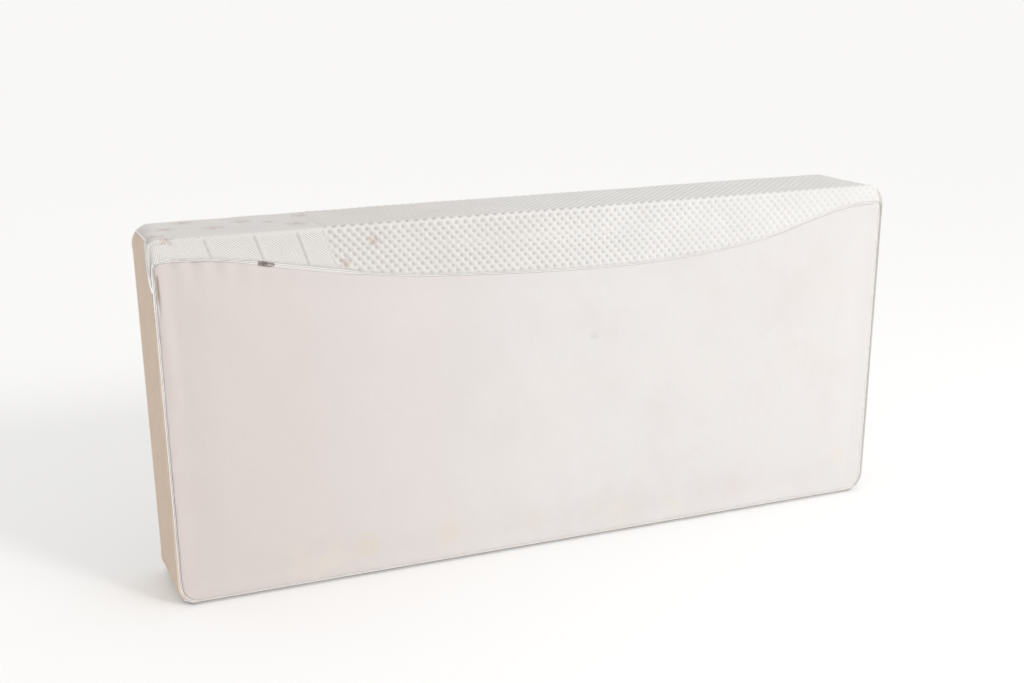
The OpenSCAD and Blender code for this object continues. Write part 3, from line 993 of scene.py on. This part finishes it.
# old marks on the underside: x, z, size, colour
MARKS = [
    (-0.520, 0.080, 0.030, (0.66, 0.52, 0.33)), (-0.299, 0.083, 0.034, (0.64, 0.52, 0.38)),
    (-0.050, 0.078, 0.030, (0.62, 0.54, 0.44)), (0.552, 0.078, 0.026, (0.62, 0.50, 0.46)),
    (0.113, 0.566, 0.010, (0.36, 0.36, 0.37)), (0.905, 0.120, 0.024, (0.62, 0.52, 0.44)),
]


def knit_material(name, tint=(1, 1, 1), flowers=False, plain_below=None, contact_shadow=False):
    """Knitted cover: fine loops, slanting ridges in the plain zones, soft shading in the dimples."""
    base = shade(KNIT, *tint)
    k = Nodes(name, base, rough=0.86, sheen=0.12, spec=0.22)
    src, u, v, _ = k.place()
    lean = k.mul(k.math("MINIMUM", v, 0.0), LEAN)
    shifted = k.add(u, lean)
    zone = k.mul(k.step(shifted, BUBBLE_LEFT - 0.003, BUBBLE_LEFT + 0.006),
                  k.flip(k.step(k.sub(u, lean), BUBBLE_RIGHT - 0.006, BUBBLE_RIGHT + 0.003)))
    plain = k.flip(zone)
    # ridges: one slant beside the corner, the other slant in the rest of the plain zones
    beside = k.flip(k.step(shifted, WELTS[0] - 0.002, WELTS[0] + 0.002))
    right_lean = k.wave(k.add(k.mul(u, 0.76), k.mul(v, -0.65)), 0.0050)
    left_lean = k.wave(k.add(k.mul(u, 0.62), k.mul(v, 0.78)), 0.0047)
    ridges = k.add(k.mul(right_lean, beside),
                   k.mul(left_lean, k.flip(beside)))
    if plain_below is not None:
        plain = k.mul(plain, k.flip(k.step(v, plain_below, plain_below + 0.02)))
    # knitted loops
    wale = k.absolute(k.wave(u, 0.0032))
    course = k.wave(k.add(v, k.mul(wale, 0.0007)), 0.0017)
    fuzz = k.noise(src, 900.0, 3.0, 0.7)
    cloud = k.noise(src, 9.0, 3.0, 0.55)
    height = k.add(k.mul(k.mul(ridges, plain), 0.00062),
                   k.mul(k.mul(wale, course), 0.00010),
                   k.mul(fuzz, 0.00022))
    k.bump(height)
    # painted shade: the dimples are painted a little darker and warmer than the bubbles' tops
    du, dv = k.mul(u, 1 / BUMP_U), k.mul(v, 0.5 / BUMP_V)
    dim = k.add(k.mul(k.wave(k.add(du, dv), 1.0, math.pi / 2), 0.57),
                k.mul(k.wave(k.sub(du, dv), 1.0, math.pi / 2), 0.43))
    deep = k.mul(k.step(k.mul(dim, -1.0), 0.05, 0.95), zone)
    tone = k.mix(k.step(cloud, 0.35, 0.7), shade(base, 0.965), base)
    deep = k.mul(deep, k.mad(k.step(u, 0.0, 0.95), -0.34, 0.50))
    tone = k.mix(deep, tone, shade(base, 0.56, 0.545, 0.53))
    # painted shade: the ridges' troughs in the plain zones are painted darker, on plain zones a little
    # lighter
    tone = k.mix(k.mul(k.step(k.mul(ridges, -1.0), 0.1, 1.0), k.mul(plain, 0.30)),
                 k.mix(plain, tone, shade(base, 1.07)), shade(base, 0.82))
    for at in WELTS:
        near = k.absolute(k.sub(shifted, at))
        line = k.mul(k.flip(k.step(near, 0.0012, 0.0040)), k.flip(zone))
        line = k.mul(line, k.flip(k.step(v, -0.002, 0.008)))
        tone = k.mix(k.mul(line, 0.34), tone, shade(base, 0.66))
    # painted shade: darker and pinker towards the left end, lighter towards the right
    tone = k.times(tone, k.mix(k.step(u, -0.55, 0.20), (0.960, 0.945, 0.950), (1.015, 1.020, 1.030)))
    if flowers:
        broken = k.step(k.noise(src, 420.0, 2.0, 0.8), 0.42, 0.56)
        for fu, fv, size in FLOWERS:
            du, dv = k.sub(u, fu), k.sub(v, fv)
            far = k.math("SQRT", k.add(k.mul(du, du), k.mul(dv, dv)))
            turn = k.mad(k.math("ARCTAN2", dv, du), 2.5, fu * 40)
            petal = k.mad(k.absolute(k.math("COSINE", turn)), 0.55 * size, 0.42 * size)
            inside = k.flip(k.step(k.sub(far, petal), -0.002, 0.001))
            rays = k.step(k.wave(turn, 0.9), -0.2, 0.8)
            eye = k.flip(k.step(far, size * 0.16, size * 0.24))
            ink = k.top(k.mul(k.mul(inside, broken), k.mad(rays, 0.42, 0.34)),
                         k.mul(eye, 0.55))
            tone = k.mix(ink, tone, (0.40, 0.285, 0.240))
    if flowers:  # painted light: the knit wedge at the corner is painted lighter
        tone = k.mix(k.flip(k.step(u, -0.992, -0.986)), tone, (0.83, 0.795, 0.755))
    # painted shadow: the lowest few millimetres of the base fold, just above the floor, are painted dark as
    # the contact shadow
    if contact_shadow:
        _, _, _, z = k.place(uv=False)
        tone = k.mix(k.mul(k.flip(k.step(z, 0.0042, 0.0078)), 0.62), tone, (0.20, 0.17, 0.15))
    k.color(tone)
    k.rough(k.mad(fuzz, 0.14, 0.78))
    return k.mat


def ellipse(k, p, q, cp, cq, a, b, turn):
    """1 inside an ellipse centred at (cp, cq), half axes a and b, turned by an angle."""
    c, s = math.cos(turn), math.sin(turn)
    dp, dq = k.sub(p, cp), k.sub(q, cq)
    along = k.add(k.mul(dp, c / a), k.mul(dq, s / a))
    over = k.add(k.mul(dp, -s / b), k.mul(dq, c / b))
    far = k.add(k.mul(along, along), k.mul(over, over))
    return k.flip(k.step(far, 0.75, 1.15))


def sprig_mask(k, x, z):
    """Printed leaf sprigs on a staggered lattice, leaning right and left in alternate rows."""
    pitch_x, pitch_z, first_z = 0.2075, 0.1600, 0.125
    row = k.math("FLOOR", k.math("DIVIDE", k.sub(z, first_z), pitch_z))
    odd = k.absolute(k.math("MODULO", row, 2.0))
    shift = k.mul(odd, 0.1385)
    cell_x = k.math("DIVIDE", k.sub(k.sub(x, 0.021), shift), pitch_x)
    lx = k.mul(k.sub(cell_x, k.math("FLOOR", k.add(cell_x, 0.5))), pitch_x)
    lz = k.sub(k.sub(k.sub(z, first_z), k.mul(row, pitch_z)), pitch_z / 2)
    lean = math.radians(50)
    sign = k.mad(odd, -2.0, 1.0)
    fx = k.mul(lx, sign)
    p = k.add(k.mul(fx, math.cos(lean)), k.mul(lz, math.sin(lean)))
    q = k.add(k.mul(fx, -math.sin(lean)), k.mul(lz, math.cos(lean)))
    bend = k.add(q, k.mul(k.mul(p, p), -1.6))
    stem = k.mul(k.flip(k.step(k.absolute(bend), 0.0008, 0.0020)),
                  k.flip(k.step(k.absolute(p), 0.050, 0.054)))
    mask = stem
    for i, at in enumerate((-0.030, -0.010, 0.010, 0.030)):
        for side in (-1, 1):
            leaf = ellipse(k, p, bend, at + 0.008, side * 0.0095, 0.0105 - 0.0008 * i, 0.0040, side * 0.72)
            mask = k.top(mask, leaf)
    return k.top(mask, ellipse(k, p, bend, 0.056, 0.0, 0.0095, 0.0038, 0.0))


def underside_material():
    """Thin smooth tricot with a faint printed sprig and a few old marks near the floor."""
    k = Nodes("underside_cloth", UNDERSIDE, rough=0.82, sheen=0.10, spec=0.25)
    src, x, _, z = k.place(uv=False)
    cloud = k.noise(src, 3.2, 3.0, 0.5)
    tone = k.mix(k.step(cloud, 0.3, 0.7), UNDERSIDE, shade(UNDERSIDE, 0.985, 0.99, 1.0))
    # painted shade: warmer and a little darker towards the left end
    tone = k.mix(k.flip(k.step(x, -1.15, 0.15)), tone,
                 shade(UNDERSIDE, 0.90, 0.835, 0.825))
    fine = k.noise(src, 650.0, 2.0, 0.7)
    ink = k.mul(sprig_mask(k, x, z), k.mul(k.step(x, -0.45, 0.15), 0.15))
    ink = k.mul(ink, k.mad(k.step(k.noise(src, 120.0, 3.0, 0.7), 0.35, 0.65), 0.8, 0.2))
    tone = k.mix(ink, tone, (0.50, 0.50, 0.505))
    low = k.flip(k.step(z, 0.02, 0.30))
    stain = k.mul(k.mul(k.step(k.noise(src, 7.0, 4.0, 0.6), 0.54, 0.70), low), 0.30)
    tone = k.mix(stain, tone, (0.66, 0.60, 0.50))
    for sx, sz, size, color in MARKS:
        far = k.math("SQRT", k.add(k.math("POWER", k.sub(x, sx), 2.0), k.math("POWER", k.sub(z, sz), 2.0)))
        ragged = k.mad(k.noise(src, 34.0, 3.0, 0.6), size, far)
        spot = k.flip(k.step(ragged, size * 0.9, size * 2.1))
        tone = k.mix(k.mul(spot, 0.20), tone, color)
    blotch = k.step(k.noise(src, 5.5, 4.0, 0.6), 0.42, 0.72)
    tone = k.mix(k.mul(blotch, 0.40), tone, shade(UNDERSIDE, 0.93, 0.90, 0.90))
    # painted shadow: a dark brown streak down the tucked gap beside the seam by the upper left corner
    fold = k.mul(k.flip(k.step(k.absolute(k.sub(x, 0.0162 - END)), 0.0010, 0.0042)),
                  k.mul(k.step(z, 0.742, 0.775), k.flip(k.step(z, 0.812, 0.826))))
    tone = k.mix(k.mul(fold, 0.92), tone, (0.34, 0.26, 0.20))
    k.color(tone)
    rib = k.wave(x, 0.0021)
    row = k.wave(z, 0.0014)
    k.bump(k.add(k.mul(rib, 0.00004), k.mul(row, 0.00003),
                 k.mul(fine, 0.00012), k.mul(k.noise(src, 30.0, 3.0, 0.6), 0.0008)))
    k.rough(k.mad(fine, 0.12, 0.76))
    return k.mat


def end_material(name, tint):
    """Plain cloth with faint upright ribs; its warm tan is partly the cloth's and partly painted warm shade,
    which the lit right end's tint takes off.
    """
    base = shade(END_CLOTH_AND_SHADE, *tint)
    k = Nodes(name, base, rough=0.85, sheen=0.10, spec=0.22)
    src, u, v, _ = k.place()
    rib = k.wave(v, 0.0046)
    wide = k.noise(src, 14.0, 2.0, 0.5)
    fine = k.noise(src, 800.0, 2.0, 0.7)
    tone = k.mix(k.mul(k.step(rib, 0.0, 1.0), 0.12), base, shade(base, 1.06))
    tone = k.mix(k.mul(k.step(wide, 0.35, 0.75), 0.55), tone, shade(base, 0.93, 0.90, 0.87))
    k.color(tone)
    k.bump(k.add(k.mul(rib, 0.00022), k.mul(k.wave(u, 0.0016), 0.00005),
                 k.mul(fine, 0.00018)))
    k.rough(k.mad(fine, 0.12, 0.78))
    return k.mat


def woven_material(name, color, pitch=0.0009):
    """Small plain weave, for tape and binding."""
    k = Nodes(name, color, rough=0.75, sheen=0.08, spec=0.3)
    src, x, _, z = k.place(uv=False)
    weave = k.mul(k.wave(k.add(x, z), pitch * 1.6), k.wave(k.sub(x, z), pitch * 1.6))
    k.bump(k.add(k.mul(weave, 0.00008), k.mul(k.noise(src, 1500.0), 0.00006)))
    k.color(k.mix(k.step(weave, -0.6, 0.6), shade(color, 0.86), color))
    return k.mat


def thread_material(name, color):
    """Twisted sewing thread."""
    k = Nodes(name, color, rough=0.55, sheen=0.15, spec=0.35)
    src, x, _, z = k.place(uv=False)
    twist = k.wave(k.add(x, k.mul(z, 0.7)), 0.0006)
    k.bump(k.mul(twist, 0.00005))
    k.color(k.mix(k.step(twist, -0.5, 0.8), shade(color, 0.88), color))
    return k.mat


def nylon_material():
    k = Nodes("zip_nylon", (0.90, 0.88, 0.86), rough=0.38, spec=0.45)
    src, _, _, _ = k.place(uv=False)
    wear = k.noise(src, 260.0, 2.0, 0.6)
    k.color(k.mix(k.step(wear, 0.35, 0.7), (0.88, 0.86, 0.84), (0.93, 0.915, 0.90)))
    k.rough(k.mad(wear, 0.2, 0.28))
    k.bump(k.mul(wear, 0.00005))
    return k.mat


def metal_material():
    """Painted zinc with worn bright edges."""
    k = Nodes("zip_painted_zinc", (0.215, 0.170, 0.150), rough=0.42, metal=0.55, spec=0.5)
    src, _, _, _ = k.place(uv=False)
    wear = k.noise(src, 520.0, 4.0, 0.65)
    edge = k.node("NewGeometry").outputs["Pointiness"]
    worn = k.mul(k.step(edge, 0.52, 0.62), k.step(wear, 0.35, 0.6))
    tone = k.mix(k.step(wear, 0.3, 0.75), (0.185, 0.145, 0.130), (0.250, 0.205, 0.185))
    k.color(k.mix(worn, tone, (0.48, 0.45, 0.42)))
    k.rough(k.mad(wear, 0.25, 0.28))
    k.bump(k.mul(wear, 0.00004))
    return k.mat


def foam_material(name, color, cell):
    """Open-cell foam: small pores and a little colour drift."""
    k = Nodes(name, color, rough=0.9, spec=0.15)
    src, _, _, _ = k.place(uv=False)
    pores = k.node("TexVoronoi")
    k.put(pores.inputs["Vector"], src)
    pores.inputs["Scale"].default_value = cell
    drift = k.noise(src, 6.0, 2.0, 0.5)
    depth = pores.outputs["Distance"]
    k.bump(k.mul(depth, 0.0008))
    tone = k.mix(k.step(drift, 0.3, 0.7), shade(color, 0.95), color)
    k.color(k.mix(k.step(depth, 0.2, 0.6), shade(color, 0.82), tone))
    return k.mat


def felt_material(name, color):
    """Loose fibres of wadding or non-woven backing."""
    k = Nodes(name, color, rough=0.95, sheen=0.2, spec=0.1)
    src, _, _, _ = k.place(uv=False)
    fibre = k.noise(src, 240.0, 5.0, 0.75, 2.5)
    k.bump(k.mul(fibre, 0.0008))
    k.color(k.mix(k.step(fibre, 0.3, 0.7), shade(color, 0.88), color))
    return k.mat


# ---- the camera, first, then the pieces ----

def add_camera():
    yaw, pitch, roll = math.radians(22.8211), math.radians(18.6583), math.radians(-0.4133)
    ahead = Vector((math.sin(yaw), math.cos(yaw), 0))
    right = Vector((math.cos(yaw), -math.sin(yaw), 0))
    view = math.cos(pitch) * ahead - math.sin(pitch) * Vector((0, 0, 1))
    up = math.sin(pitch) * ahead + math.cos(pitch) * Vector((0, 0, 1))
    side = math.cos(roll) * right + math.sin(roll) * up
    top = -math.sin(roll) * right + math.cos(roll) * up
    cam = bpy.data.objects.new("camera", bpy.data.cameras.new("camera"))
    bpy.context.scene.collection.objects.link(cam)
    cam.matrix_world = Matrix((
        (side.x, top.x, -view.x, -1.4494), (side.y, top.y, -view.y, -3.2879),
        (side.z, top.z, -view.z, 1.4767), (0, 0, 0, 1)))
    cam.data.sensor_width = 36
    cam.data.lens = 49.10
    cam.data.shift_y = 0.0929
    cam.data.clip_start, cam.data.clip_end = 0.05, 500
    bpy.context.scene.camera = cam


add_camera()

knit_top = knit_material("knit_upper", flowers=True, plain_below=0.006)
knit_low = knit_material("knit_lower", tint=(0.97, 0.97, 0.97), contact_shadow=True)
knit_back = knit_material("knit_sleeping", tint=(1.01, 1.01, 1.01))
cloth_under = underside_material()
# painted shade and light: a shaded, tan copy of the end cloth on the left, a lit, paler copy on the right
cloth_left_shaded = end_material("end_cloth_left_shaded", (1, 1, 1))
cloth_right_lit = end_material("end_cloth_right_lit", (0.98, 1.17, 1.40))
tape_mat = woven_material("zip_tape_weave", (0.86, 0.84, 0.82))
piping_mat = woven_material("piping_weave", (0.84, 0.825, 0.80), 0.0011)
thread_mat = thread_material("sewing_thread", (0.78, 0.765, 0.745))
coil_mat = nylon_material()
zinc_mat = metal_material()

CORNER_GAP = 0.0006
detail = 0.0029
S_END = S_HALF - (FLAT_X + QUARTER / 2)  # s at the middle of a lower corner


def slack_relief(u, v):
    """Shallow slack waves in the end panels' cloth."""
    return 0.0006 * np.sin(2 * math.pi * u / 0.31 + v * 9) * np.sin(2 * math.pi * v / 0.17)



upper = border_piece("border_upper_knit", -S_CORNER + CORNER_GAP, S_CORNER - CORNER_GAP, detail,
                     (34, 12, int(SIDE / detail * 0.92)), knit_relief, knit_top, wedge_at="start")
left = border_piece("end_cloth_left_panel", -S_END + CORNER_GAP, -S_CORNER - CORNER_GAP, 0.0055, (5, 9, 34),
                    slack_relief, cloth_left_shaded, wedge_at="end")
right = border_piece("end_cloth_right_panel", S_CORNER + CORNER_GAP, S_END - CORNER_GAP, 0.0055, (5, 9, 34),
                     slack_relief, cloth_right_lit)


def lower_piece():
    """The border under the mattress, from one lower corner to the other through the middle of the base."""
    rows = border_rows(5, 8, 46)
    cols = int(2 * (S_HALF - S_END) / 0.0058)
    t = np.linspace(-1, 1, cols)
    run = (S_HALF - S_END - CORNER_GAP) * t
    s = np.where(run < 0, S_HALF + run, -S_HALF + run)
    s = np.where(np.abs(run) < 1e-9, S_HALF, s)
    grid = np.repeat(s[None], len(rows), axis=0)
    pts, nrm, uv = border_surface(grid, rows)
    uv[..., 0] = -run[None]
    kinds = np.array([r[0] in ("front", "cross") for r in rows])
    above = pts[..., 2] > 0.003
    relief = knit_relief(uv[..., 0], uv[..., 1]) * 0.5
    soft = soften(pts)
    outer = soft + nrm * (relief * above * kinds[:, None]
                          * smooth(0.0, 0.006, BACK_SEAM - uv[..., 1]))[..., None]
    outer[..., 2] = np.maximum(outer[..., 2], 0.0)
    pick_r = [0, 3] + list(range(5, len(rows) - 3, 6)) + [len(rows) - 1]
    pick_c = np.unique(np.append(np.arange(0, cols, 10), cols - 1))
    inner = soft[np.ix_(pick_r, pick_c)] - nrm[np.ix_(pick_r, pick_c)] * 0.0028
    inner[0, :, 1] = LIP_BASE + 0.0001
    inner[-1, :, 1] -= 0.0015
    return shell("border_lower_knit", outer, inner, uv, knit_low)


lower = lower_piece()
under = underside_piece(cloth_under)
back = sleeping_piece(knit_back, 0.0046)

tape_a = zip_tape("zip_tape_upper", 1, tape_mat)
tape_b = zip_tape("zip_tape_lower", -1, tape_mat)
coil_a = zip_coil("zip_teeth_cover", 1, coil_mat)
coil_b = zip_coil("zip_teeth_underside", -1, coil_mat)
stops = bevelled("zip_stops", "zip_end_stops", 0.0003, zinc_mat)
slider = bevelled("slider_body", "zip_slider", 0.0003, zinc_mat, 3)
tab = bevelled("slider_pull", "zip_pull_tab", 0.0003, zinc_mat, 3)


def surface_line(s, c, lift=0.0):
    """Points and normals on the soft cover along matching arrays of s and c on the rounding or the side."""
    p, nn, _, _ = perimeter(s)
    d, y, ang = across(c, s)
    flat = p - nn * (d - lift * np.sin(ang))[:, None]
    pts = np.stack([flat[:, 0], y - lift * np.cos(ang), flat[:, 1]], -1)
    nrm = np.stack([nn[:, 0] * np.sin(ang), -np.cos(ang), nn[:, 1] * np.sin(ang)], -1)
    return soften(pts), nrm


def corner_line(s_mid, follow_wedge):
    """s and c along a corner seam from the zip lip to the back seam."""
    c = np.concatenate([np.linspace(0.0022, 0.031, 46), np.linspace(0.034, BACK_SEAM - 0.001, 60)])
    s = np.full(len(c), s_mid)
    if follow_wedge:
        s = s - wedge(c)
    return s, c


pipings = []
for tag, s_mid, follow in (("upper_left", -S_CORNER, True), ("upper_right", S_CORNER, False),
                           ("lower_right", S_END, False), ("lower_left", -S_END, False)):
    s, c = corner_line(s_mid, follow)
    line, nrm = surface_line(s, c, 0.0010)
    line[:, 2] = np.maximum(line[:, 2], 0.0015)
    pipings.append(tube("corner_piping_" + tag, line, 0.0019, piping_mat, 8))

back_s = np.linspace(-S_HALF, S_HALF, 1400, endpoint=False)
line, _ = surface_line(back_s, np.full(len(back_s), BACK_SEAM), -0.0003)
line[:, 2] = np.maximum(line[:, 2], 0.0016)
pipings.append(tube("back_seam_piping", line, 0.0015, piping_mat, 8, closed=True))

stitches = []
for tag, off in (("cover", LIP + 0.0034), ("underside", -LIP - 0.0034)):
    path = seam_path(off, -FACE - 0.0007, 0.004)
    nrm = np.tile([0, -1.0, 0], (len(path), 1))
    stitches.append(stitch_row("lip_stitching_" + tag, path, nrm, 0.0034, 0.0012, 0.00028,
                               thread_mat, 0.0002))

foam = {
    "comfort_foam": foam_material("memory_foam_cells", (0.88, 0.80, 0.56), 900),
    "transition_foam": foam_material("transition_foam_cells", (0.68, 0.76, 0.82), 700),
    "support_core": foam_material("core_foam_cells", (0.86, 0.84, 0.78), 520),
    "quilt_wadding": felt_material("wadding_fibres", (0.88, 0.88, 0.86)),
    "quilt_backing": felt_material("backing_fibres", (0.76, 0.75, 0.72)),
    "inner_sleeve": woven_material("sleeve_stockinette", (0.84, 0.83, 0.81), 0.0014),
}
for name, mat in foam.items():
    mesh = frame["nodes"][name].data
    mesh.materials.clear()
    mesh.materials.append(mat)

# ---- what each piece rides on, what it replaces and its finish's slot ----

for piece, node, body, slot in (
    (upper, "border_upper", "mattress", "knit_fabric"),
    (lower, "border_lower", "mattress", "knit_fabric"),
    (back, "sleeping_panel", "mattress", "knit_fabric"),
    (left, "end_panel_left", "mattress", "end_fabric"),
    (right, "end_panel_right", "mattress", "end_fabric"),
    (under, "underside_panel", "mattress", "underside_fabric"),
    (tape_a, "zip_tape_cover", "mattress", "zip_tape"),
    (tape_b, "zip_tape_underside", "mattress", "zip_tape"),
    (coil_a, "zip_coil_cover", "mattress", "zip_coil"),
    (coil_b, "zip_coil_underside", "mattress", "zip_coil"),
    (stops, "zip_end_stops", "mattress", "zip_metal"),
    (slider, "zip_slider", "slider", "zip_metal"),
    (tab, "zip_pull_tab", "pull_tab", "zip_metal"),
):
    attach(piece, body)
    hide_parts(node)
for piece in pipings:
    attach(piece, "mattress")
for piece in stitches:
    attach(piece, "mattress")

# ---- floor and light ----


def add_floor():
    mesh = bpy.data.meshes.new("floor")
    reach = 160
    mesh.from_pydata([(-reach, -reach, 0), (reach, -reach, 0), (reach, reach, 0), (-reach, reach, 0)],
                     [], [(0, 1, 2, 3)])
    k = Nodes("floor_pale", (0.930, 0.930, 0.930), rough=0.55, spec=0.3)
    mesh.materials.append(k.mat)
    ob = link("floor", mesh)
    ob.location.z = -0.0003


def add_light():
    world = bpy.data.worlds.new("studio")
    world.use_nodes = True
    back_node = world.node_tree.nodes["Background"]
    back_node.inputs[0].default_value = (1.0, 0.995, 0.985, 1)
    back_node.inputs[1].default_value = 0.905
    bpy.context.scene.world = world
    sun = bpy.data.objects.new("key", bpy.data.lights.new("key", "SUN"))
    sun.data.energy = 0.95
    sun.data.angle = math.radians(12)
    sun.data.color = (1.0, 0.99, 0.975)
    bpy.context.scene.collection.objects.link(sun)
    az, el = math.radians(32), math.radians(24)
    toward = Vector((math.sin(az) * math.cos(el), -math.cos(az) * math.cos(el), math.sin(el)))
    sun.rotation_mode = "QUATERNION"
    sun.rotation_quaternion = toward.to_track_quat("Z", "Y")
    soft = bpy.data.objects.new("window", bpy.data.lights.new("window", "AREA"))
    soft.data.shape = "SQUARE"
    soft.data.size = 2.2
    soft.data.energy = 46
    soft.location = (2.7, -3.3, 1.9)
    bpy.context.scene.collection.objects.link(soft)
    soft.rotation_mode = "QUATERNION"
    soft.rotation_quaternion = (soft.location - Vector((0, 0, 0.45))).to_track_quat("Z", "Y")


add_floor()
add_light()
bpy.context.scene.view_settings.view_transform = "Standard"
